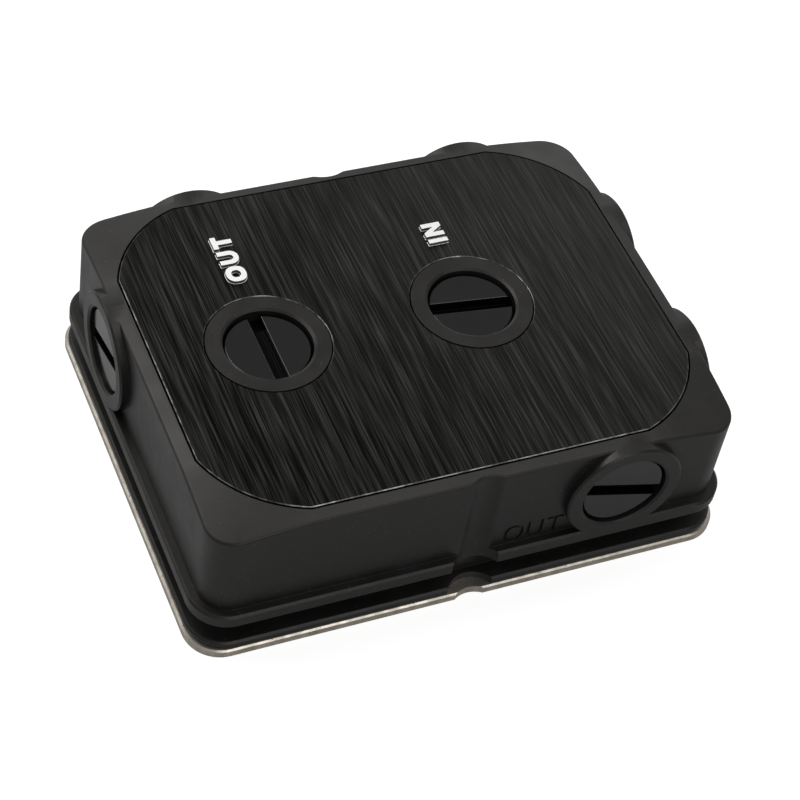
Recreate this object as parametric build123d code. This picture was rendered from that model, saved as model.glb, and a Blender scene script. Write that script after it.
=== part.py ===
"""Liquid cooling cold plate: nickel plated copper base, moulded housing with eight ports, cover plate.

Millimetres. X runs along the front edge to the right, Y runs to the back, Z runs up.
The origin is the middle of the contact face, the flat underside that lies on the processor.
"""
import os

from build123d import *

# Cover plate
total_height = 26.1
plate_length = 79.2
plate_depth = 61.6
plate_thick = 1.5
plate_edge_break = 0.12
corner_arc_radius = 19.7
corner_arc_x = 20.9
corner_arc_y = 12.0
plate_gap = 0.3
plate_proud = 0.15
film_thick = 0.15
film_inset = 1.0

# Housing
wall_length = 84.1
wall_depth = 66.1
wall_corner = 4.6
band_slope = 0.23
lip_reach = 1.45
lip_edge_break = 0.35
fold_round = 0.5
channel_edge_round = 1.5
boss_rim_break = 0.3
band_fall = 3.0
lower_lip_thick = 1.25
bracket_groove_height = 4.1
bracket_groove_depth = 3.2
upper_lip_thick = 2.15
notch_radius = 4.25
notch_reach = 2.2

# Water space inside the housing
chamber_length = 60.0
chamber_depth = 42.4
chamber_corner = 4.0
chamber_roof_thick = 2.45

# Base
base_reach = 0.35
base_corner = 5.7
base_thick = 1.4
base_edge_break = 0.25
base_notch_depth = 0.7
plateau_length = 52.0
plateau_depth = 38.0
plateau_corner = 2.0
plateau_height = 1.6
fin_field_length = 48.0
fin_length = 34.0
fin_pitch = 1.2
fin_thick = 0.6
fin_height = 3.0

# Screwed ports, one quarter inch pipe thread drawn as a plain cylinder at its pitch diameter
ring_radius = 9.5
side_ring_radius = 9.4
mouth_play = 0.25
mouth_edge_break = 0.15
thread_pitch_diameter = 12.301
thread_play = 0.1
top_ring_sink = 0.2
top_hole_gap = 0.2
top_port_y = 0.2
outlet_x = -22.1
inlet_x = 11.2
side_port_drop = 9.6
long_side_port_x = 23.2
short_side_port_y = 13.4
side_hole_overshoot = 0.1

# Screw plugs and their seals
plug_sink = 0.7
plug_head_ledge = 0.7495
plug_head_thick = 2.4
plug_head_bevel = 0.5
plug_shank_length = 6.5
plug_turns = {
    "top_outlet": 90,
    "top_inlet": -7,
    "front": -17,
    "back_left": 12,
    "back_right": 64,
    "left": 106,
    "right_front": 35,
    "right_rear": 151,
}
slot_width = 2.2
slot_depth = 1.7
seal_thick = 1.1
seal_play = 0.12

# Base seal
base_seal_length = 67.6
base_seal_depth = 50.2
base_seal_corner = 6.5
base_seal_width = 2.0
base_seal_height = 1.3
base_seal_play = 0.2

# Base screws
screw_thread_radius = 1.0
screw_hole_play = 0.05
screw_length = 9.0
screw_head_radius = 2.1
screw_drive_width = 1.4
screw_drive_depth = 0.8
screw_edge_distance = 7.4

# Jet plate and inlet guide
jet_thick = 0.5
jet_length = 46.0
jet_depth = 32.0
jet_slot_length = 40.0
jet_slot_width = 2.4
guide_thick = 4.0
guide_channel_length = 42.0
guide_channel_width = 7.0
guide_channel_depth = 2.6
guide_spout_radius = 9.0
guide_spout_height = 1.2
inlet_seal_thick = 1.0

# Heights and places that follow from the sizes above
groove_floor = base_thick + lower_lip_thick
groove_roof = groove_floor + bracket_groove_height
ledge_height = groove_roof + upper_lip_thick
band_height = total_height - plate_proud
pocket_floor = total_height - plate_thick - film_thick
top_ring_height = total_height - top_ring_sink
side_port_height = total_height - side_port_drop
chamber_height = pocket_floor - chamber_roof_thick - base_thick
mouth_depth = plug_sink + plug_head_thick + seal_thick
plateau_top = base_thick + plateau_height
fin_top = plateau_top + fin_height
guide_bottom = fin_top + jet_thick
guide_spout_top = guide_bottom + guide_thick + guide_spout_height
top_boss_length = top_ring_height - guide_spout_top - inlet_seal_thick
lip_length = wall_length + 2 * lip_reach
lip_depth = wall_depth + 2 * lip_reach
base_length = lip_length + 2 * base_reach
base_depth = lip_depth + 2 * base_reach
side_hole_length = max(lip_length - chamber_length, lip_depth - chamber_depth) / 2 + side_hole_overshoot
lip_corner = wall_corner + lip_reach
groove_length = lip_length - 2 * bracket_groove_depth
groove_depth_y = lip_depth - 2 * bracket_groove_depth
thread_radius = thread_pitch_diameter / 2
plug_head_radius = thread_radius + plug_head_ledge
mouth_radius = plug_head_radius + mouth_play
notch_y = lip_depth / 2 - notch_reach + notch_radius
CORNERS = [(-1, -1), (1, -1), (1, 1), (-1, 1)]


def rounded_block(length, depth, corner, bottom, height):
    """Upright block with round corners, standing on the height called bottom."""
    return Pos(0, 0, bottom) * extrude(RectangleRounded(length, depth, corner), height)


def cylinder_up(radius, bottom, height, x=0, y=0):
    """Upright cylinder standing on the height called bottom."""
    return Pos(x, y, bottom) * Cylinder(radius, height, align=(Align.CENTER, Align.CENTER, Align.MIN))


def plate_outline(grow):
    """The cover plate's outline, moved outward by grow: straight sides joined by four wide arcs."""
    half_x = plate_length / 2 + grow
    half_y = plate_depth / 2 + grow
    outline = Rectangle(2 * half_x, 2 * half_y)
    for sx, sy in CORNERS:
        centre = Pos(sx * corner_arc_x, sy * corner_arc_y)
        quarter = Pos(sx * half_x / 2, sy * half_y / 2) * Rectangle(half_x, half_y)
        outline -= centre * (quarter - Circle(corner_arc_radius + grow))
    return outline


def port_frames():
    """Frame on each port's face: Z runs out along its axis, and X along the slot of its plug as it sits."""
    side = side_port_height
    reach_x = lip_length / 2
    reach_y = lip_depth / 2
    places = {
        "top_outlet": ((outlet_x, top_port_y, top_ring_height), (0, 0, 0)),
        "top_inlet": ((inlet_x, top_port_y, top_ring_height), (0, 0, 0)),
        "front": ((long_side_port_x, -reach_y, side), (90, 0, 0)),
        "back_left": ((-long_side_port_x, reach_y, side), (-90, 0, 0)),
        "back_right": ((long_side_port_x, reach_y, side), (-90, 0, 0)),
        "left": ((-reach_x, short_side_port_y, side), (0, -90, 0)),
        "right_front": ((reach_x, -short_side_port_y, side), (0, 90, 0)),
        "right_rear": ((reach_x, short_side_port_y, side), (0, 90, 0)),
    }
    frames = {}
    for name, (spot, facing) in places.items():
        frames[name] = Location(spot, facing) * Rot(0, 0, plug_turns[name])
    return frames


def drill(radius, depth):
    """Hole to be cut from a port's face inward, along the face frame's own Z."""
    return Cylinder(radius, depth, align=(Align.CENTER, Align.CENTER, Align.MAX))


def mouth_chamfer():
    """Cone that breaks the edge of a port's mouth."""
    wide = mouth_radius + mouth_edge_break
    return Cone(mouth_radius, wide, mouth_edge_break, align=(Align.CENTER, Align.CENTER, Align.MAX))


def screw_places():
    """Base screws: one in each corner and one in the middle of each side."""
    x = base_length / 2 - screw_edge_distance
    y = base_depth / 2 - screw_edge_distance
    return [(sx * x, sy * y) for sx, sy in CORNERS] + [(-x, 0), (x, 0), (0, -y), (0, y)]


def band_cutters():
    """What is taken off round the cover plate, so that the band falls outward, lowest at the corners."""
    fall = band_fall
    run = fall / band_slope
    half_x = plate_length / 2 + plate_gap
    half_y = plate_depth / 2 + plate_gap
    wedge = make_face(Polyline((0, 0), (run, -fall), (run, 0), close=True))
    side_x = extrude(Plane.XZ * Pos(half_x, 0) * wedge, wall_depth / 2, both=True)
    side_y = extrude(Plane.YZ * Pos(half_y, 0) * wedge, wall_length / 2, both=True)
    cutters = [side_x, side_x.mirror(Plane.YZ), side_y, side_y.mirror(Plane.XZ)]
    inner = corner_arc_radius + plate_gap
    cone = Cone(inner + run, inner, fall, align=(Align.CENTER, Align.CENTER, Align.MAX))
    for sx, sy in CORNERS:
        reach = corner_arc_radius + run
        quarter = Pos(sx * reach / 2, sy * reach / 2, -fall / 2) * Box(reach, reach, fall)
        cutters.append(Pos(sx * corner_arc_x, sy * corner_arc_y) * (quarter - cone))
    return [Pos(0, 0, band_height) * cutter for cutter in cutters]


def notch_pair():
    """What is taken off for the two upright channels, in the middle of the front and of the back."""
    return [cylinder_up(notch_radius, base_thick, total_height, 0, y) for y in (-notch_y, notch_y)]


def wall_block():
    """Walls with the two channels, and the band falling from the plate to a rounded fold along their top."""
    body = rounded_block(wall_length, wall_depth, wall_corner, base_thick, band_height - base_thick)
    body -= notch_pair()
    channel_edges = body.edges().filter_by(Axis.Z).filter_by(lambda edge: abs(edge.center().X) < notch_radius)
    body = fillet(channel_edges, channel_edge_round)
    for cutter in band_cutters():
        body -= cutter
    fold = []
    for wall in body.faces().filter_by(lambda face: abs(face.normal_at().Z) < 0.5):
        fold += wall.edges().filter_by(lambda edge: edge.center().Z > band_height - band_fall)
    upright = body.edges().filter_by(Axis.Z)
    fold = [edge for edge in fold if not any(edge.is_same(other) for other in upright)]
    return fillet(fold, fold_round)


def lip(bottom, thick):
    """One of the two lips that the mounting bracket's groove lies between, its upper edge broken."""
    block = rounded_block(lip_length, lip_depth, lip_corner, bottom, thick)
    return chamfer(block.faces().sort_by(Axis.Z)[-1].edges(), lip_edge_break)


def housing():
    """Moulded housing: walls, band, two lips and their groove, port bosses, plate pocket, water space."""
    body = wall_block()
    groove = rounded_block(lip_length, lip_depth, lip_corner, groove_floor, bracket_groove_height)
    groove -= rounded_block(groove_length, groove_depth_y, wall_corner, groove_floor, bracket_groove_height)
    body = body - groove + lip(base_thick, lower_lip_thick) + lip(groove_roof, upper_lip_thick)
    body -= notch_pair()
    ports = port_frames()
    boss = drill(side_ring_radius, lip_reach + (wall_depth - plate_depth) / 2 - plate_gap)
    boss = chamfer(boss.faces().sort_by(Axis.Z)[-1].edges(), boss_rim_break)
    for name, frame in ports.items():
        if not name.startswith("top"):
            body += frame * boss
    body -= Pos(0, 0, pocket_floor) * extrude(plate_outline(plate_gap), total_height - pocket_floor)
    body -= rounded_block(chamber_length, chamber_depth, chamber_corner, base_thick, chamber_height)
    for name in ("top_outlet", "top_inlet"):
        body += ports[name] * drill(ring_radius, top_boss_length)
    for name, frame in ports.items():
        depth = top_boss_length if name.startswith("top") else side_hole_length
        body -= frame * drill(thread_radius, depth)
        body -= frame * drill(mouth_radius, mouth_depth)
        body -= frame * mouth_chamfer()
    body -= base_seal_ring(base_seal_play)
    for x, y in screw_places():
        body -= cylinder_up(screw_thread_radius + screw_hole_play, base_thick, screw_length, x, y)
    return body


def base_seal_ring(grow):
    """Ring of the base seal's path, its width grown by a play on both sides, standing on the base."""
    rings = []
    for change in (grow, -base_seal_width - grow):
        length = base_seal_length + 2 * change
        rings.append(RectangleRounded(length, base_seal_depth + 2 * change, base_seal_corner + change))
    return Pos(0, 0, base_thick) * extrude(rings[0] - rings[1], base_seal_height)


def base_seal():
    """Rubber seal pressed between the base and the housing."""
    return base_seal_ring(0)


def cover_plate():
    """Aluminium cover plate with two port holes, its upper edges broken."""
    hole = Circle(ring_radius + top_hole_gap)
    outline = plate_outline(0)
    for x in (outlet_x, inlet_x):
        outline -= Pos(x, top_port_y) * hole
    plate = Pos(0, 0, total_height - plate_thick) * extrude(outline, plate_thick)
    return chamfer(plate.faces().sort_by(Axis.Z)[-1].edges(), plate_edge_break)


def cover_film():
    """Adhesive film that holds the cover plate in its pocket."""
    outline = plate_outline(-film_inset)
    for x in (outlet_x, inlet_x):
        outline -= Pos(x, top_port_y) * Circle(ring_radius + top_hole_gap + film_inset)
    return Pos(0, 0, pocket_floor) * extrude(outline, film_thick)


def cold_base():
    """Nickel plated copper base: rim under the housing, raised plateau, cooling fins cut from it."""
    rim = rounded_block(base_length, base_depth, base_corner, 0, base_thick)
    rim = chamfer(rim.faces().sort_by(Axis.Z)[-1].edges(), base_edge_break)
    notch_centre = base_depth / 2 - base_notch_depth + notch_radius
    rim -= [cylinder_up(notch_radius, 0, base_thick, 0, y) for y in (-notch_centre, notch_centre)]
    for x, y in screw_places():
        rim -= Pos(x, y) * screw_head()
    base = rim + rounded_block(plateau_length, plateau_depth, plateau_corner, base_thick, plateau_height)
    count = int(fin_field_length / fin_pitch)
    fin = Pos(0, 0, plateau_top + fin_height / 2) * Box(fin_thick, fin_length, fin_height)
    first = -(count - 1) * fin_pitch / 2
    return base + [Pos(first + i * fin_pitch, 0) * fin for i in range(count)]


def screw_head():
    """Countersunk screw head, as deep as the base's rim is thick, its flat side in the contact face."""
    upright = (Align.CENTER, Align.CENTER, Align.MIN)
    return Cone(screw_head_radius, screw_thread_radius, base_thick, align=upright)


def base_screws():
    """Eight countersunk screws that hold the base to the housing, with a square drive."""
    shank = cylinder_up(screw_thread_radius, base_thick, screw_length - base_thick)
    drive = Pos(0, 0, screw_drive_depth / 2) * Box(screw_drive_width, screw_drive_width, screw_drive_depth)
    screw = screw_head() + shank - drive
    return Compound(children=[Pos(x, y) * screw for x, y in screw_places()])


def screw_plug():
    """Slotted screw plug in its port's face frame: bevelled head sunk in the mouth, shank in the thread."""
    head = Pos(0, 0, -plug_sink) * drill(plug_head_radius, plug_head_thick)
    head = chamfer(head.faces().sort_by(Axis.Z)[-1].edges(), plug_head_bevel)
    under_head = plug_sink + plug_head_thick
    shank = Pos(0, 0, -under_head) * drill(thread_radius - thread_play, plug_shank_length)
    slot = Pos(0, 0, -plug_sink - slot_depth / 2) * Box(3 * plug_head_radius, slot_width, slot_depth)
    return head + shank - slot


def plug_seal():
    """Rubber ring pressed between a plug's head and the floor of the port's mouth."""
    inner = thread_radius - thread_play + seal_play
    outer = plug_head_radius
    under_head = plug_sink + plug_head_thick
    section = Pos((inner + outer) / 2, -under_head - seal_thick / 2) * Rectangle(outer - inner, seal_thick)
    return revolve(Plane.XZ * section, Axis.Z)


def jet_plate():
    """Thin sheet on the fins, with the slot that the coolant enters them through."""
    sheet = Rectangle(jet_length, jet_depth) - Rectangle(jet_slot_length, jet_slot_width)
    return Pos(0, 0, fin_top) * extrude(sheet, jet_thick)


def inlet_guide():
    """Moulded guide from the inlet port down to the jet plate's slot."""
    block = Pos(0, 0, guide_bottom) * extrude(Rectangle(jet_length, jet_depth), guide_thick)
    height = guide_spout_top - guide_bottom
    block += cylinder_up(guide_spout_radius, guide_bottom, height, inlet_x, top_port_y)
    channel = extrude(SlotOverall(guide_channel_length, guide_channel_width), guide_channel_depth)
    block -= Pos(0, 0, guide_bottom) * channel
    return block - cylinder_up(thread_radius, guide_bottom, total_height, inlet_x, top_port_y)


def inlet_seal():
    """Flat rubber ring between the inlet port's boss and the guide's spout."""
    ring = cylinder_up(guide_spout_radius, guide_spout_top, inlet_seal_thick, inlet_x, top_port_y)
    return ring - cylinder_up(thread_radius, guide_spout_top, inlet_seal_thick, inlet_x, top_port_y)


def main():
    """Builds every piece and writes one STEP file for each."""
    pieces = {
        "housing": housing(),
        "cover_plate": cover_plate(),
        "cover_film": cover_film(),
        "cold_base": cold_base(),
        "base_seal": base_seal(),
        "base_screws": base_screws(),
        "jet_plate": jet_plate(),
        "inlet_guide": inlet_guide(),
        "inlet_seal": inlet_seal(),
    }
    for name, frame in port_frames().items():
        pieces[name + "_plug"] = frame * screw_plug()
        pieces[name + "_plug_seal"] = frame * plug_seal()
    os.makedirs("parts", exist_ok=True)
    for name, solid in pieces.items():
        export_step(solid, f"parts/{name}.step")


if __name__ == "__main__":
    main()
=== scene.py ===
"""Liquid cooling cold plate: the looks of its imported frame, its port marks and the studio round it."""

import bmesh
import bpy
import numpy as np
from bpy.props import FloatProperty, FloatVectorProperty, PointerProperty
from mathutils import Matrix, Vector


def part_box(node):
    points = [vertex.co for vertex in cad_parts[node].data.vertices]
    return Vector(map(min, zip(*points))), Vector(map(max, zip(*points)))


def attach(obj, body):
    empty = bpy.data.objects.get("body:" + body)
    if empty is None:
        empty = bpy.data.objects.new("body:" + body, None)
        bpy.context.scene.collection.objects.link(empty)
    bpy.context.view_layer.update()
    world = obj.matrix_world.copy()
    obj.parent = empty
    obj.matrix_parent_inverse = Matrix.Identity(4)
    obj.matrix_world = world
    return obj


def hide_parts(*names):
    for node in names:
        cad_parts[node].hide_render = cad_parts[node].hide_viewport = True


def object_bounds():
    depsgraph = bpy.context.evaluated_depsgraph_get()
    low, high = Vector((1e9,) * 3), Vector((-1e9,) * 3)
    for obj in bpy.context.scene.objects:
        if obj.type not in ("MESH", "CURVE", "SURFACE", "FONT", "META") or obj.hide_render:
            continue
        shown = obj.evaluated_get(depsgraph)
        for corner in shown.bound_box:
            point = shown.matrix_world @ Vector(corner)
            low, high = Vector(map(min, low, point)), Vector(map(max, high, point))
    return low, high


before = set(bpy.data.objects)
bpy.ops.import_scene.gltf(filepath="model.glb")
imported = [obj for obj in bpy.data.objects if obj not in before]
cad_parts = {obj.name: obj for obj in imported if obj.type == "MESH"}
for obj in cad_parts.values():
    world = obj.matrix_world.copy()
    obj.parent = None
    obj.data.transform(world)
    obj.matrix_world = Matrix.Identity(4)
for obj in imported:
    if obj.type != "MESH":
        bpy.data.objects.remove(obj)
CAD_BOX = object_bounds()

bl_info = {
    "name": "Liquid cooling cold plate",
    "version": (1, 0, 0),
    "blender": (4, 5, 0),
    "location": "3D View > Sidebar > Cold plate",
    "description": "Finishes of a liquid cooling cold plate, its port marks and a plain studio",
    "category": "Object",
}

MM = 0.001
# How near two points of a CAD mesh are joined, how far the raised marks' edges are rounded, and the angle past
# which an edge is shaded sharp
MERGE_DISTANCE = 0.001 * MM
EDGE_SOFTNESS = 0.04 * MM
SHARP_ANGLE = np.radians(30)
# Ring, mouth and edge break of a port as the solids have them, and how far a plug's face lies under the ring.
# An edge loop is found within LOOP_WIDTH of its place.
RING_RADIUS = 9.5 * MM
MOUTH_RADIUS = 7.15 * MM
MOUTH_BREAK = 0.15 * MM
PLUG_SINK = 0.7 * MM
LOOP_WIDTH = 0.03 * MM
# The cone at a port's mouth, and how far the top rings are lifted to lie flush with the plate
CONE_RADIUS = 6.86 * MM
CONE_DEPTH = 0.28 * MM
RING_RAISE = 0.2 * MM
# Each port and the way it faces
PORTS = {
    "top_outlet": (0, 0, 1),
    "top_inlet": (0, 0, 1),
    "front": (0, -1, 0),
    "back_left": (0, 1, 0),
    "back_right": (0, 1, 0),
    "left": (-1, 0, 0),
    "right_front": (1, 0, 0),
    "right_rear": (1, 0, 0),
}


def linear(hex_colour):
    """Linear red, green, blue and alpha of an sRGB hex colour such as B0A090."""
    channels = np.array([int(hex_colour[i:i + 2], 16) / 255 for i in (0, 2, 4)])
    low = channels / 12.92
    high = ((channels + 0.055) / 1.055) ** 2.4
    return (*np.where(channels <= 0.04045, low, high).tolist(), 1.0)


def colour_property(name, description, hex_colour):
    """A colour that a user can change, its default given as an sRGB hex value."""
    return FloatVectorProperty(
        name=name, description=description, subtype="COLOR", size=4, min=0, max=1,
        default=linear(hex_colour),
    )


def length_property(name, description, millimetres):
    """A length that a user can change, its default given in millimetres."""
    return FloatProperty(
        name=name, description=description, unit="LENGTH", subtype="DISTANCE", min=0,
        default=millimetres * MM,
    )


class ColdPlateSizes(bpy.types.PropertyGroup):
    """Sizes of the port marks."""

    mark_height: length_property("Mark height", "Height of the capitals on the cover plate", 3.2)
    mark_stroke: length_property("Mark stroke", "Width of a stroke of the marks on the cover plate", 0.86)
    mark_raise: length_property("Mark raise", "How far the marks stand up from the cover plate", 0.6)
    foot_reach: length_property("Foot reach", "How far a mark's thin foot stands out round it", 0.09)
    foot_height: length_property("Foot height", "How thick that foot is", 0.05)
    wall_mark_height: length_property("Wall mark height", "Height of the capitals in the front wall", 3.7)
    wall_mark_stroke: length_property("Wall mark stroke", "Width of a stroke in the front wall", 0.5)
    wall_mark_depth: length_property("Wall mark depth", "How deep the front wall's mark is sunk", 0.3)


class ColdPlateColours(bpy.types.PropertyGroup):
    """Base colours of the finishes."""

    housing: colour_property("Housing", "Black moulded nylon", "161514")
    plate: colour_property("Cover plate", "Black anodised aluminium", "0D0D0C")
    bare: colour_property("Cut edges", "Bare aluminium of the plate's cut edges", "B9BABC")
    mark: colour_property("Marks", "Bright cut aluminium of the raised marks", "F4F4F3")
    nickel: colour_property("Nickel", "Nickel plating of the base", "CDC6BB")
    plug: colour_property("Plugs", "Black nickel plating of the screw plugs", "070707")


def sizes():
    """The sizes as they are set in the scene."""
    return bpy.context.scene.cold_plate_sizes


def colours():
    """The colours as they are set in the scene."""
    return bpy.context.scene.cold_plate_colours


# Meshes


def prism(outline, bottom, top):
    """Upright prism: the outline of n points is carried from the height bottom to the height top.

    Its points are P(i, j) = (x_i, y_i, z_j), i running round the outline anticlockwise and j being bottom
    or top.
    """
    count = len(outline)
    low = np.column_stack([outline, np.full(count, bottom)])
    high = np.column_stack([outline, np.full(count, top)])
    here = np.arange(count)
    after = np.roll(here, -1)
    walls = np.column_stack([here, after, after + count, here + count]).tolist()
    caps = [here[::-1].tolist(), (here + count).tolist()]
    return np.vstack([low, high]), walls + caps


def ring_prism(outer, inner, bottom, top):
    """Upright closed ring: a rectangle whose corners run round the outer and the inner outline.

    Its points are P(i, j) = (x_i, y_i, z_j), i running round an outline and j round the four corners.
    """
    count = len(outer)
    corners = [(outer, bottom), (outer, top), (inner, top), (inner, bottom)]
    points = np.vstack([np.column_stack([line, np.full(count, z)]) for line, z in corners])
    here = np.arange(count)
    after = np.roll(here, -1)
    faces = []
    for j in range(4):
        this, following = j * count, (j + 1) % 4 * count
        faces.append(np.column_stack([here + this, after + this, after + following, here + following]))
    return points, np.vstack(faces).tolist()


def rounded_loop(width, height, power, count=48):
    """Closed oval with flattened sides, |x / a| ** power + |y / b| ** power = 1, anticlockwise."""
    turn = np.linspace(0, 2 * np.pi, count, endpoint=False)
    c, s = np.cos(turn), np.sin(turn)
    x = np.sign(c) * np.abs(c) ** (2 / power) * width / 2
    y = np.sign(s) * np.abs(s) ** (2 / power) * height / 2
    return np.column_stack([x, y])


# How square the outer and the inner line of the letter O are, 2 being an ellipse
OUTER_POWER = 2.4
INNER_POWER = 2.2
# Slope of the letter N: how far its corners lie from the letter's ends, in strokes
SLOPE_REACH = 1.6675


def letter_o(width, height, stroke, bottom, top):
    """Round ring whose stroke is as wide all round."""
    middle = np.array([width / 2, height / 2])
    outer = rounded_loop(width, height, OUTER_POWER) + middle
    inner = rounded_loop(width - 2 * stroke, height - 2 * stroke, INNER_POWER) + middle
    return ring_prism(outer, inner, bottom, top)


def letter_u(width, height, stroke, bottom, top):
    """Two stems joined by a half round: an outer line down, round and up, and an inner one back."""
    turn = np.linspace(np.pi, 2 * np.pi, 17)
    radius = width / 2
    outer = np.column_stack([radius + radius * np.cos(turn), radius + radius * np.sin(turn)])
    inside = radius - stroke
    inner = np.column_stack([radius + inside * np.cos(turn[::-1]), radius + inside * np.sin(turn[::-1])])
    right_stem = [[width, height], [width - stroke, height]]
    outline = np.vstack([[[0, height]], outer, right_stem, inner, [[stroke, height]]])
    return prism(outline, bottom, top)


def letter_t(width, height, stroke, bottom, top):
    """Bar on a stem."""
    left = (width - stroke) / 2
    right = (width + stroke) / 2
    under = height - stroke
    outline = [
        (left, 0), (right, 0), (right, under), (width, under),
        (width, height), (0, height), (0, under), (left, under),
    ]
    return prism(np.array(outline), bottom, top)


def letter_i(width, height, stroke, bottom, top):
    """One stem."""
    return prism(np.array([(0, 0), (width, 0), (width, height), (0, height)]), bottom, top)


def letter_n(width, height, stroke, bottom, top):
    """Two stems and the slope between them."""
    reach = SLOPE_REACH * stroke
    right = width - stroke
    outline = [
        (0, 0), (stroke, 0), (stroke, height - reach), (right, 0), (width, 0),
        (width, height), (right, height), (right, reach), (stroke, height), (0, height),
    ]
    return prism(np.array(outline), bottom, top)


LETTERS = {"O": letter_o, "U": letter_u, "T": letter_t, "I": letter_i, "N": letter_n}


def word_mesh(name, letters, stroke, height, layers, place):
    """One mesh of a word's letters.

    Each letter is (character, where it starts, how wide it is) along the reading direction. Each layer is
    (bottom, top, how far it stands out round the letter). The matrix place takes reading direction, letter
    height and raise to the object's frame.
    """
    points = []
    faces = []
    count = 0
    for character, start, width in letters:
        for bottom, top, grow in layers:
            wider = 2 * grow
            local, sides = LETTERS[character](width + wider, height + wider, stroke + wider, bottom, top)
            points.append(local + np.array([start - grow, -grow, 0]))
            faces += [[corner + count for corner in side] for side in sides]
            count += len(local)
    flat = np.vstack(points) @ np.array(place.to_3x3()).T + np.array(place.translation)
    return new_piece(name, flat, faces)


def merged_copy(node, name):
    """Copy of a CAD node's mesh with its triangles joined, and without the normals stored for them."""
    mesh = bpy.data.meshes.new(name)
    joined = bmesh.new()
    joined.from_mesh(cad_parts[node].data)
    bmesh.ops.remove_doubles(joined, verts=joined.verts, dist=MERGE_DISTANCE)
    joined.to_mesh(mesh)
    joined.free()
    mesh.attributes.remove(mesh.attributes["custom_normal"])
    piece = bpy.data.objects.new(name, mesh)
    bpy.context.scene.collection.objects.link(piece)
    return piece


def carve(piece, cutter):
    """Takes the cutter's shape out of the piece's mesh, and removes the cutter."""
    cut = piece.modifiers.new("cut", "BOOLEAN")
    cut.operation = "DIFFERENCE"
    cut.solver = "EXACT"
    cut.object = cutter
    seen = piece.evaluated_get(bpy.context.evaluated_depsgraph_get())
    carved = bpy.data.meshes.new_from_object(seen)
    piece.modifiers.clear()
    piece.data = carved
    bpy.data.objects.remove(cutter)


def plug_face(port):
    """Middle of the outer face of a port's plug, as its box gives it."""
    axis = np.array(PORTS[port])
    low, high = np.array(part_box(port + "_plug"))
    return tuple((low + high) / 2 + axis * abs((high - low) @ axis) / 2)


def mesh_points(mesh):
    """The mesh's vertices as an array of n points."""
    points = np.empty(len(mesh.vertices) * 3)
    mesh.vertices.foreach_get("co", points)
    return points.reshape(-1, 3)


def about_axis(points, face, axis):
    """Depth d = (f - p) . a of each point p under the face f along the axis a, its spoke p - f + d a, and
    that spoke's length."""
    depth = (face - points) @ axis
    spoke = points - face + depth[:, None] * axis
    return depth, spoke, np.linalg.norm(spoke, axis=1)


def shape_mouths(piece):
    """Gives each port's mouth its cone and lifts the top ports' rings flush with the plate.

    The mouth's lower edge loop goes nearer to the axis and deeper under the ring's face, so that it and the
    upper loop are the two ends of a cone.
    """
    mesh = piece.data
    points = mesh_points(mesh)
    for port, facing_way in PORTS.items():
        axis = np.array(facing_way)
        face = plug_face(port) + PLUG_SINK * axis
        depth, spoke, reach = about_axis(points, face, axis)
        lower = (abs(reach - MOUTH_RADIUS) < LOOP_WIDTH) & (abs(depth - MOUTH_BREAK) < LOOP_WIDTH)
        top = (abs(depth) < LOOP_WIDTH) & (reach < RING_RADIUS + LOOP_WIDTH)
        raised = RING_RAISE * axis[2]
        points[lower] = face + spoke[lower] * (CONE_RADIUS / MOUTH_RADIUS) + axis * (raised - CONE_DEPTH)
        points[top] += axis * raised
    mesh.vertices.foreach_set("co", points.ravel())


def smooth_between_edges(piece):
    """Shades the piece smooth, apart from edges sharper than the angle of a fillet's facets."""
    mesh = piece.data
    mesh.shade_smooth()
    mesh.set_sharp_from_angle(angle=SHARP_ANGLE)
    weighted = piece.modifiers.new("weighted normals", "WEIGHTED_NORMAL")
    weighted.keep_sharp = True


def new_piece(name, points, faces):
    """Object at the origin with those points, in metres, and faces."""
    mesh = bpy.data.meshes.new(name)
    mesh.from_pydata(points.tolist(), [], faces)
    mesh.update()
    piece = bpy.data.objects.new(name, mesh)
    bpy.context.scene.collection.objects.link(piece)
    return piece


# Materials

# The nylon's gloss is a little warm
NYLON_TINT = (1.0, 0.975, 0.93, 1.0)
# Slope of the painted reflection on the plate along X and Y, per metre: darker with stronger streaks toward
# the left and front, paler and calmer toward the right and back
PAINTED_SHEEN_SLOPE = (16.0, 8.0, 0.0)


def add(tree, kind, inputs=None, **settings):
    """Adds one node: settings are its properties, inputs its sockets' values or what feeds them."""
    node = tree.nodes.new(kind)
    for name, value in settings.items():
        setattr(node, name, value)
    for name, value in (inputs or {}).items():
        if isinstance(value, bpy.types.NodeSocket):
            tree.links.new(value, node.inputs[name])
        else:
            node.inputs[name].default_value = value
    return node


def new_material(name):
    """Empty node material and its node tree."""
    material = bpy.data.materials.new(name)
    material.use_nodes = True
    material.node_tree.nodes.clear()
    return material, material.node_tree


def noise(tree, coordinates, size_mm, detail=2.0, stretch=(1, 1, 1)):
    """Noise whose grains are about size_mm wide, each axis stretched by its factor."""
    scale = tuple(1 / (size_mm * MM * factor) for factor in stretch)
    mapped = add(tree, "ShaderNodeMapping", {"Vector": coordinates, "Scale": scale})
    inputs = {"Vector": mapped.outputs[0], "Scale": 1.0, "Detail": detail}
    return add(tree, "ShaderNodeTexNoise", inputs).outputs[0]


def remap(tree, value, from_low, from_high, to_low, to_high):
    """Value taken from one range to another and held inside it."""
    inputs = {0: value, 1: from_low, 2: from_high, 3: to_low, 4: to_high}
    return add(tree, "ShaderNodeMapRange", inputs, clamp=True).outputs[0]


def upward(tree):
    """How far a face points up: 1 on a level top, 0 on a wall."""
    normal = add(tree, "ShaderNodeNewGeometry").outputs["True Normal"]
    return add(tree, "ShaderNodeSeparateXYZ", {0: normal}).outputs[2]


def blend_colours(tree, factor, first, second):
    """First colour where the factor is 0 and second where it is 1."""
    return add(tree, "ShaderNodeMix", {0: factor, 6: first, 7: second}, data_type="RGBA").outputs[2]


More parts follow.
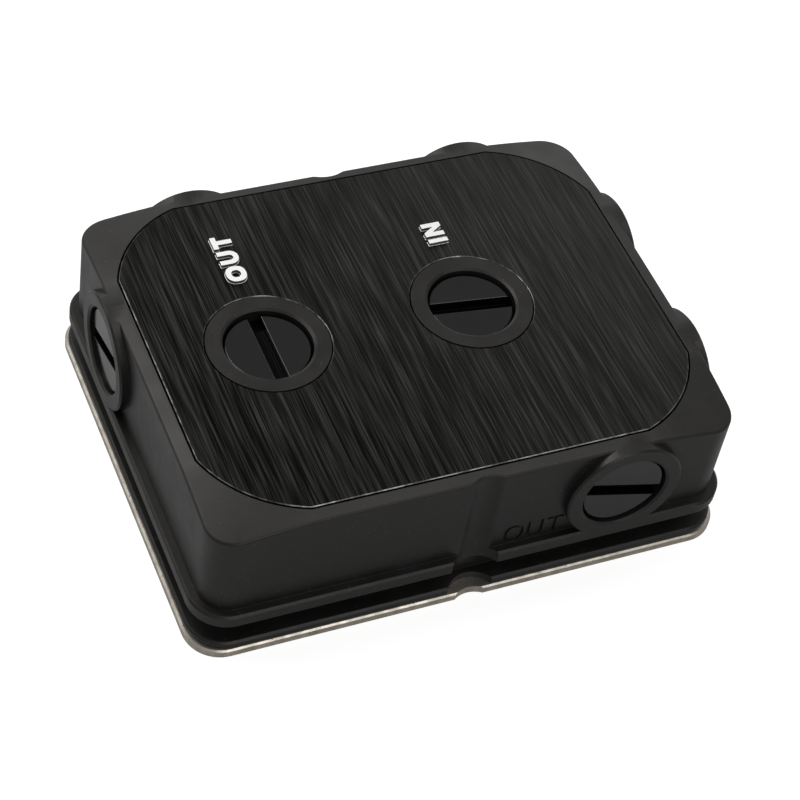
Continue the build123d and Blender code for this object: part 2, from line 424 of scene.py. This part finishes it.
def shade(tree, inputs):
    """Principled shader with those inputs, linked to the output."""
    shader = add(tree, "ShaderNodeBsdfPrincipled", inputs)
    add(tree, "ShaderNodeOutputMaterial", {"Surface": shader.outputs[0]})


def moulded_nylon(name, colour):
    """Glass filled nylon, injection moulded in a spark eroded tool: black, satin, with a fine grain."""
    material, tree = new_material(name)
    coordinates = add(tree, "ShaderNodeTexCoord").outputs["Object"]
    grain = noise(tree, coordinates, 0.22, 3.0)
    cloud = noise(tree, coordinates, 5.0, 3.0)
    speck = noise(tree, coordinates, 0.35, 0.0)
    pale = remap(tree, speck, 0.80, 0.84, 0.0, 0.12)
    tone = blend_colours(tree, remap(tree, cloud, 0.3, 0.7, 0.0, 0.35), colour, linear("232324"))
    base = blend_colours(tree, pale, tone, linear("8C8A86"))
    bevel = add(tree, "ShaderNodeBevel", {"Radius": 0.12 * MM}, samples=4).outputs[0]
    relief = {"Strength": 0.35, "Distance": 0.02 * MM, "Height": grain, "Normal": bevel}
    bump = add(tree, "ShaderNodeBump", relief)
    shade(tree, {
        "Base Color": base, "Roughness": remap(tree, cloud, 0.3, 0.7, 0.34, 0.44),
        "Specular IOR Level": 0.30, "Specular Tint": NYLON_TINT, "Normal": bump.outputs[0],
    })
    return material


def brushed_anodised_aluminium(name, colour, bare):
    """Aluminium sheet, brushed one way and anodised black, its edges cut bare afterwards.

    The brush leaves lines along Y, drawn a tenth of a millimetre wide or more so that they show. The black
    film keeps them as paler and darker streaks. Over them a painted reflection runs across the plate: darker,
    with the strongest streaks, at the left and front, and paler and calmer at the right and back.
    """
    material, tree = new_material(name)
    coordinates = add(tree, "ShaderNodeTexCoord").outputs["Object"]
    hair = noise(tree, coordinates, 0.14, 1.0, (1, 66, 66))
    strand = noise(tree, coordinates, 0.32, 3.0, (1, 54, 54))
    scratch = remap(tree, noise(tree, coordinates, 0.19, 0.0, (1, 140, 140)), 0.66, 0.86, 0.0, 0.9)
    both = add(tree, "ShaderNodeMath", {0: hair, 1: strand}, operation="ADD").outputs[0]
    streak = remap(tree, both, 0.80, 1.28, 0.0, 1.0)
    streak = add(tree, "ShaderNodeMath", {0: streak, 1: 1.5}, operation="POWER").outputs[0]
    streak = add(tree, "ShaderNodeMath", {0: streak, 1: scratch}, operation="ADD").outputs[0]
    # Painted reflection: across the plate the tone runs from darker to paler, and the streaks from strong to
    # calm
    sheen_slope_inputs = {0: coordinates, 1: PAINTED_SHEEN_SLOPE}
    across = add(tree, "ShaderNodeVectorMath", sheen_slope_inputs, operation="DOT_PRODUCT").outputs[1]
    painted_sheen_calm = remap(tree, across, -0.6, 0.6, 0.0, 0.65)
    even = add(tree, "ShaderNodeMix", {0: painted_sheen_calm, 2: streak, 3: 0.45}).outputs[0]
    painted_sheen_level = remap(tree, across, -0.6, 0.6, 0.62, 1.30)
    even = add(tree, "ShaderNodeMath", {0: even, 1: painted_sheen_level}, operation="MULTIPLY").outputs[0]
    tone = blend_colours(tree, even, colour, linear("484846"))
    up = upward(tree)
    cut = remap(tree, up, 0.80, 0.90, 1.0, 0.0)
    side = remap(tree, up, 0.30, 0.50, 0.0, 1.0)
    edge = add(tree, "ShaderNodeMath", {0: cut, 1: side}, operation="MULTIPLY").outputs[0]
    speckle = remap(tree, noise(tree, coordinates, 1.5, 2.0), 0.40, 0.66, 0.12, 0.6)
    edge = add(tree, "ShaderNodeMath", {0: edge, 1: speckle}, operation="MULTIPLY").outputs[0]
    bump = add(tree, "ShaderNodeBump", {"Strength": 0.30, "Distance": 0.01 * MM, "Height": hair})
    shade(tree, {
        "Base Color": blend_colours(tree, edge, tone, bare), "Metallic": 1.0,
        "Roughness": remap(tree, strand, 0.3, 0.7, 0.34, 0.44), "Normal": bump.outputs[0],
    })
    return material


def cut_aluminium(name, colour):
    """Bare aluminium, cut bright after anodising: clean white metal with fine tool lines, its walls painted
    dark grey as shade.
    """
    material, tree = new_material(name)
    coordinates = add(tree, "ShaderNodeTexCoord").outputs["Object"]
    lines = noise(tree, coordinates, 0.10, 2.0, (8, 1, 8))
    up = upward(tree)
    # Painted shade: faces that don't point up, the walls of the marks, take dark grey 626365 in place of the
    # bright metal
    flat = remap(tree, up, 0.5, 0.9, 0.0, 1.0)
    tone = blend_colours(tree, remap(tree, lines, 0.3, 0.7, 0.0, 0.2), colour, linear("D6D6D5"))
    bump = add(tree, "ShaderNodeBump", {"Strength": 0.2, "Distance": 0.01 * MM, "Height": lines})
    shade(tree, {
        "Base Color": blend_colours(tree, flat, linear("626365"), tone), "Metallic": 0.6, "Roughness": 0.5,
        "Normal": bump.outputs[0],
    })
    return material


def satin_nickel(name, colour):
    """Copper, milled and nickel plated: warm pale satin metal with fine cutter lines and dark pits."""
    material, tree = new_material(name)
    coordinates = add(tree, "ShaderNodeTexCoord").outputs["Object"]
    lines = noise(tree, coordinates, 0.12, 2.0, (30, 30, 1))
    cloud = noise(tree, coordinates, 1.6, 3.0)
    pits = remap(tree, noise(tree, coordinates, 0.3, 0.0), 0.74, 0.80, 0.0, 0.8)
    tone = blend_colours(tree, remap(tree, cloud, 0.35, 0.65, 0.0, 0.45), colour, linear("94897C"))
    base = blend_colours(tree, pits, tone, linear("3A342E"))
    bump = add(tree, "ShaderNodeBump", {"Strength": 0.25, "Distance": 0.01 * MM, "Height": lines})
    shade(tree, {
        "Base Color": base, "Metallic": 1.0, "Roughness": remap(tree, cloud, 0.3, 0.7, 0.30, 0.42),
        "Normal": bump.outputs[0],
    })
    return material


def black_plated_brass(name, colour, face, axis):
    """Turned brass, plated glossy black: smooth, with rounded bright edges, and painted shade down in the
    slot.

    The painted shade is measured as a depth (face - p) . axis under the plug's face, so each plug has its own.
    """
    material, tree = new_material(name)
    coordinates = add(tree, "ShaderNodeTexCoord").outputs["Object"]
    smear = noise(tree, coordinates, 3.0, 3.0)
    bevel = add(tree, "ShaderNodeBevel", {"Radius": 0.20 * MM}, samples=8).outputs[0]
    under = add(tree, "ShaderNodeVectorMath", {0: face, 1: coordinates}, operation="SUBTRACT").outputs[0]
    depth = add(tree, "ShaderNodeVectorMath", {0: under, 1: axis}, operation="DOT_PRODUCT").outputs[1]
    # Painted shade in the slot: the gloss falls from 0.55 to 0.05 between 0.45 and 0.80 mm under the face
    shade(tree, {
        "Base Color": colour, "Roughness": remap(tree, smear, 0.3, 0.7, 0.09, 0.16), "IOR": 1.5,
        "Specular IOR Level": remap(tree, depth, 0.45 * MM, 0.80 * MM, 0.55, 0.05), "Normal": bevel,
    })
    return material


def moulded_rubber(name):
    """Black rubber, pressed in a mould: dull, with a soft fine skin."""
    material, tree = new_material(name)
    coordinates = add(tree, "ShaderNodeTexCoord").outputs["Object"]
    skin = noise(tree, coordinates, 0.15, 3.0)
    bump = add(tree, "ShaderNodeBump", {"Strength": 0.2, "Distance": 0.02 * MM, "Height": skin})
    tone = blend_colours(tree, skin, linear("111112"), linear("1E1E1F"))
    shade(tree, {"Base Color": tone, "Roughness": 0.62, "IOR": 1.52, "Normal": bump.outputs[0]})
    return material


def drawn_stainless_steel(name):
    """Stainless steel screw, cold headed: bright grey with faint marks of the die."""
    material, tree = new_material(name)
    coordinates = add(tree, "ShaderNodeTexCoord").outputs["Object"]
    marks = noise(tree, coordinates, 0.25, 3.0)
    tone = blend_colours(tree, marks, linear("8E8F90"), linear("B4B5B6"))
    roughness = remap(tree, marks, 0.3, 0.7, 0.28, 0.40)
    shade(tree, {"Base Color": tone, "Metallic": 1.0, "Roughness": roughness})
    return material


def adhesive_film(name):
    """Black acrylic adhesive film: dull and slightly uneven."""
    material, tree = new_material(name)
    coordinates = add(tree, "ShaderNodeTexCoord").outputs["Object"]
    waves = noise(tree, coordinates, 1.2, 2.0)
    tone = blend_colours(tree, waves, linear("0A0A0A"), linear("141414"))
    shade(tree, {"Base Color": tone, "Roughness": remap(tree, waves, 0.3, 0.7, 0.55, 0.75)})
    return material


def dress(node, material):
    """Gives every material slot of a CAD node one material."""
    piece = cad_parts[node]
    for slot in piece.material_slots:
        slot.material = material
    if not piece.material_slots:
        piece.data.materials.append(material)


# Operators

# The lips stand out this far from the walls
LIP_REACH = 1.45 * MM
# Letters of the marks: character, where it starts and its width, in millimetres along the reading direction
WALL_MARK = [("O", 4.65, 3.25), ("U", 8.45, 2.65), ("T", 11.68, 2.72)]
OUTLET_MARK = [("O", 12.94, 3.18), ("U", 16.69, 2.78), ("T", 20.14, 2.54)]
INLET_MARK = [("I", 12.98, 0.80), ("N", 14.40, 2.80)]
# The line that the letters stand on: its height in the front wall, and its place along X on the plate
WALL_MARK_FOOT = 9.2 * MM
OUTLET_MARK_FOOT = -20.60 * MM
INLET_MARK_FOOT = 12.55 * MM


def in_metres(letters):
    """Those letters with their starts and widths in metres."""
    return [(character, start * MM, width * MM) for character, start, width in letters]


class COLDPLATE_OT_housing(bpy.types.Operator):
    """Moulded housing in black glass filled nylon"""

    bl_idname = "coldplate.housing"
    bl_label = "Housing"

    def execute(self, context):
        nylon = moulded_nylon("moulded glass filled nylon", colours().housing)
        dress("housing", nylon)
        chosen = sizes()
        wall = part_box("housing")[0][1] + LIP_REACH
        place = Matrix(((1, 0, 0, 0), (0, 0, -1, wall), (0, 1, 0, WALL_MARK_FOOT), (0, 0, 0, 1)))
        depth = chosen.wall_mark_depth
        layers = [(-depth, depth, 0.0)]
        letters = in_metres(WALL_MARK)
        cutter = word_mesh("cutter", letters, chosen.wall_mark_stroke, chosen.wall_mark_height, layers, place)
        shell = merged_copy("housing", "marked_housing")
        shape_mouths(shell)
        carve(shell, cutter)
        smooth_between_edges(shell)
        shell.data.materials.clear()
        shell.data.materials.append(nylon)
        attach(shell, "root")
        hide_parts("housing")
        return {"FINISHED"}


class COLDPLATE_OT_cover(bpy.types.Operator):
    """Cover plate in brushed black anodised aluminium, and the film under it"""

    bl_idname = "coldplate.cover"
    bl_label = "Cover plate"

    def execute(self, context):
        chosen = colours()
        sheet = brushed_anodised_aluminium("brushed anodised aluminium", chosen.plate, chosen.bare)
        dress("cover_plate", sheet)
        dress("cover_film", adhesive_film("acrylic adhesive film"))
        return {"FINISHED"}


class COLDPLATE_OT_base(bpy.types.Operator):
    """Nickel plated base and its screws"""

    bl_idname = "coldplate.base"
    bl_label = "Base"

    def execute(self, context):
        dress("cold_base", satin_nickel("satin nickel plated copper", colours().nickel))
        dress("base_screws", drawn_stainless_steel("cold headed stainless steel"))
        return {"FINISHED"}


class COLDPLATE_OT_inside(bpy.types.Operator):
    """Seals, jet plate and inlet guide"""

    bl_idname = "coldplate.inside"
    bl_label = "Inside pieces"

    def execute(self, context):
        rubber = moulded_rubber("moulded rubber")
        for node in ["base_seal", "inlet_seal"] + [port + "_plug_seal" for port in PORTS]:
            dress(node, rubber)
        dress("jet_plate", drawn_stainless_steel("rolled stainless steel"))
        dress("inlet_guide", moulded_nylon("moulded nylon guide", linear("1E1E1F")))
        return {"FINISHED"}


class COLDPLATE_OT_plugs(bpy.types.Operator):
    """Eight slotted screw plugs, plated glossy black"""

    bl_idname = "coldplate.plugs"
    bl_label = "Screw plugs"

    def execute(self, context):
        for port, axis in PORTS.items():
            name = "black plated brass of " + port
            dress(port + "_plug", black_plated_brass(name, colours().plug, plug_face(port), axis))
        return {"FINISHED"}


class COLDPLATE_OT_plate_marks(bpy.types.Operator):
    """Raised OUT and IN on the cover plate, beside the ports that they name"""

    bl_idname = "coldplate.plate_marks"
    bl_label = "Marks on the plate"

    def execute(self, context):
        chosen = sizes()
        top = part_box("cover_plate")[1][2]
        metal = cut_aluminium("bright cut aluminium", colours().mark)
        layers = [
            (0.0, chosen.foot_height, chosen.foot_reach),
            (chosen.foot_height, chosen.mark_raise, 0.0),
        ]
        words = {
            "outlet_mark": (OUTLET_MARK_FOOT, OUTLET_MARK),
            "inlet_mark": (INLET_MARK_FOOT, INLET_MARK),
        }
        for name, (foot, mark) in words.items():
            place = Matrix(((0, -1, 0, foot), (1, 0, 0, 0), (0, 0, 1, top), (0, 0, 0, 1)))
            letters = in_metres(mark)
            piece = word_mesh(name, letters, chosen.mark_stroke, chosen.mark_height, layers, place)
            soft = piece.modifiers.new("soft edges", "BEVEL")
            soft.width = EDGE_SOFTNESS
            soft.segments = 2
            soft.limit_method = "ANGLE"
            piece.data.materials.append(metal)
            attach(piece, "root")
        return {"FINISHED"}


class COLDPLATE_OT_stage(bpy.types.Operator):
    """Pale floor, soft studio light and the camera"""

    bl_idname = "coldplate.stage"
    bl_label = "Studio"

    def execute(self, context):
        add_floor()
        add_world()
        for name, direction, distance, size, radiance in LAMPS:
            add_lamp(name, direction, distance, size, radiance)
        add_camera()
        context.scene.view_settings.view_transform = "Standard"
        return {"FINISHED"}


# Studio

# Name, direction from the object, distance and width in metres, radiance
LAMPS = [
    ("upper left", (-0.32, 0.50, 0.80), 0.9, 0.52, 4.2),
    ("low left", (-0.70, 0.58, 0.40), 0.9, 0.30, 2.4),
    ("overhead", (0.30, -0.05, 0.95), 1.0, 0.55, 2.2),
    ("right", (0.62, 0.70, 0.36), 1.0, 0.45, 1.0),
    ("back", (0.10, 1.00, 0.30), 1.0, 0.50, 0.9),
    ("front", (0.10, -1.00, 0.55), 1.0, 0.60, 2.0),
]
WORLD_LEVEL = 0.38
# What the floor shines with on its own, the share of that which a reflection of it gets, half its width in
# metres, and how far it lies under the object
FLOOR_LIFT = 0.74
GLOSS_SHARE = 0.06
FLOOR_HALF = 6.0
FLOOR_DROP = 0.02 * MM
# Angles in degrees, target and distance in millimetres, as solved from the photograph
CAMERA_AZIMUTH = -30.423
CAMERA_ELEVATION = 47.963
CAMERA_ROLL = 11.232
CAMERA_TARGET = (-7.193, -15.540, 26.1)
CAMERA_DISTANCE = 344.314
CAMERA_LENS = 105.40
SENSOR_WIDTH = 36.0


def add_floor():
    """Pale floor, lifted to white for what looks straight at it or sees it in a gloss, its shadow kept."""
    material, tree = new_material("white floor")
    path = add(tree, "ShaderNodeLightPath").outputs
    rays = {0: path["Is Glossy Ray"], 1: path["Is Transmission Ray"]}
    gloss = add(tree, "ShaderNodeMath", rays, operation="MAXIMUM")
    gloss = add(tree, "ShaderNodeMath", {0: gloss.outputs[0], 1: GLOSS_SHARE}, operation="MULTIPLY")
    seen = add(tree, "ShaderNodeMath", {0: gloss.outputs[0], 1: path["Is Camera Ray"]}, operation="MAXIMUM")
    white = add(tree, "ShaderNodeBsdfDiffuse", {"Color": linear("B6B6B6")})
    lift = add(tree, "ShaderNodeMath", {0: seen.outputs[0], 1: FLOOR_LIFT}, operation="MULTIPLY")
    glow = add(tree, "ShaderNodeEmission", {"Color": linear("FFFFFF"), "Strength": lift.outputs[0]})
    both = add(tree, "ShaderNodeAddShader", {0: white.outputs[0], 1: glow.outputs[0]})
    add(tree, "ShaderNodeOutputMaterial", {"Surface": both.outputs[0]})
    height = CAD_BOX[0][2] - FLOOR_DROP
    signs = np.array([(-1, -1), (1, -1), (1, 1), (-1, 1)])
    corners = np.column_stack([signs * FLOOR_HALF, np.full(len(signs), height)])
    floor = new_piece("floor", corners, [[0, 1, 2, 3]])
    floor.data.materials.append(material)


def add_world():
    """Even white surroundings, at full white for what looks straight at them."""
    world = bpy.data.worlds.new("studio")
    world.use_nodes = True
    tree = world.node_tree
    tree.nodes.clear()
    seen = add(tree, "ShaderNodeLightPath").outputs["Is Camera Ray"]
    strength = remap(tree, seen, 0.0, 1.0, WORLD_LEVEL, 1.0)
    background = add(tree, "ShaderNodeBackground", {"Color": linear("FFFFFF"), "Strength": strength})
    add(tree, "ShaderNodeOutputWorld", {"Surface": background.outputs[0]})
    bpy.context.scene.world = world


def facing(back, upward, place):
    """Matrix of something at place that looks against back, its own up near to upward."""
    back = np.array(back, dtype=float)
    back /= np.linalg.norm(back)
    right = np.cross(upward, back)
    right /= np.linalg.norm(right)
    up = np.cross(back, right)
    matrix = np.eye(4)
    matrix[:3, 0], matrix[:3, 1], matrix[:3, 2], matrix[:3, 3] = right, up, back, place
    return Matrix(matrix.tolist())


def add_lamp(name, direction, distance, size, radiance):
    """Square soft lamp that faces the object: its power is pi times its area times its radiance."""
    light = bpy.data.lights.new(name, "AREA")
    light.shape = "SQUARE"
    light.size = size
    light.energy = float(np.pi * size ** 2 * radiance)
    lamp = bpy.data.objects.new(name, light)
    toward = np.array(direction) / np.linalg.norm(direction)
    lamp.matrix_world = facing(toward, (0, 0.01, 1), toward * distance)
    bpy.context.scene.collection.objects.link(lamp)


def add_camera():
    """Camera at the photograph's angle: its back axis is (sin a cos e, -cos a cos e, sin e), then a roll."""
    a, e, roll = np.radians([CAMERA_AZIMUTH, CAMERA_ELEVATION, CAMERA_ROLL])
    back = np.array([np.sin(a) * np.cos(e), -np.cos(a) * np.cos(e), np.sin(e)])
    right = np.array([np.cos(a), np.sin(a), 0.0])
    up = np.cross(back, right)
    upward = np.cos(roll) * up - np.sin(roll) * right
    place = (np.array(CAMERA_TARGET) + back * CAMERA_DISTANCE) * MM
    data = bpy.data.cameras.new("camera")
    data.lens = CAMERA_LENS
    data.sensor_width = SENSOR_WIDTH
    data.clip_start = 0.01
    camera = bpy.data.objects.new("camera", data)
    camera.matrix_world = facing(back, upward, place)
    bpy.context.scene.collection.objects.link(camera)
    bpy.context.scene.camera = camera


class COLDPLATE_PT_panel(bpy.types.Panel):
    """Lists the steps that dress the cold plate, and its sizes and colours"""

    bl_idname = "COLDPLATE_PT_panel"
    bl_label = "Cold plate"
    bl_space_type = "VIEW_3D"
    bl_region_type = "UI"
    bl_category = "Cold plate"

    def draw(self, context):
        for group in (context.scene.cold_plate_sizes, context.scene.cold_plate_colours):
            box = self.layout.box()
            for name in group.__annotations__:
                box.prop(group, name)
        for operator in OPERATORS:
            self.layout.operator(operator.bl_idname)


OPERATORS = [
    COLDPLATE_OT_housing,
    COLDPLATE_OT_cover,
    COLDPLATE_OT_base,
    COLDPLATE_OT_inside,
    COLDPLATE_OT_plugs,
    COLDPLATE_OT_plate_marks,
    COLDPLATE_OT_stage,
]
CLASSES = [ColdPlateSizes, ColdPlateColours, *OPERATORS, COLDPLATE_PT_panel]


def register():
    """Registers the classes and puts the sizes and colours on the scene."""
    for each in CLASSES:
        bpy.utils.register_class(each)
    bpy.types.Scene.cold_plate_sizes = PointerProperty(type=ColdPlateSizes)
    bpy.types.Scene.cold_plate_colours = PointerProperty(type=ColdPlateColours)


def unregister():
    """Takes them away again."""
    del bpy.types.Scene.cold_plate_sizes
    del bpy.types.Scene.cold_plate_colours
    for each in reversed(CLASSES):
        bpy.utils.unregister_class(each)


def main():
    """Runs every step in order."""
    register()
    for operator in OPERATORS:
        group, step = operator.bl_idname.split(".")
        getattr(getattr(bpy.ops, group), step)()


if __name__ == "__main__":
    main()
